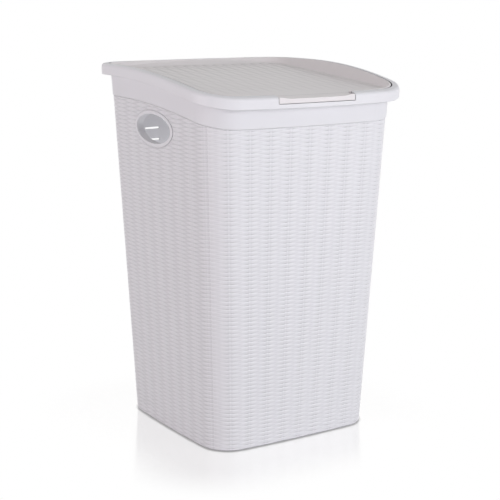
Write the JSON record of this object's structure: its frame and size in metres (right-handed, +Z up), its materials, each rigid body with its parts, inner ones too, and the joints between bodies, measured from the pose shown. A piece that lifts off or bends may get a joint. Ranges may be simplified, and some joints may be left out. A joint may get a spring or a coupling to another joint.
{
  "type": "laundry hamper with lid",
  "caption": "Tall tapered square laundry hamper with a woven-look wall, oval hand holes and an inset, curved lid that swings up at the back.",
  "frame": {"origin": "middle of the footprint, on the floor plane under the foot ring", "axes": "+Z up, -Y towards the front with the lid's finger tab, +X to the hamper's left as one stands behind it"},
  "size_m": [0.371, 0.371, 0.56],
  "materials": {
    "tub_plastic": "satin white polypropylene",
    "lid_plastic": "satin white polypropylene",
    "pin_plastic": "smooth natural acetal"
  },
  "bodies": {
    "tub": {"tub": "tub_plastic", "hinge_pin_left": "pin_plastic", "hinge_pin_right": "pin_plastic"},
    "lid": {"lid": "lid_plastic"}
  },
  "joints": [
    {"name": "lid_hinge", "type": "hinge", "parent": "tub", "child": "lid", "pos_m": [0, 0.178, 0.556], "axis": [-1, 0, 0], "range_deg": [0, 110]}
  ]
}
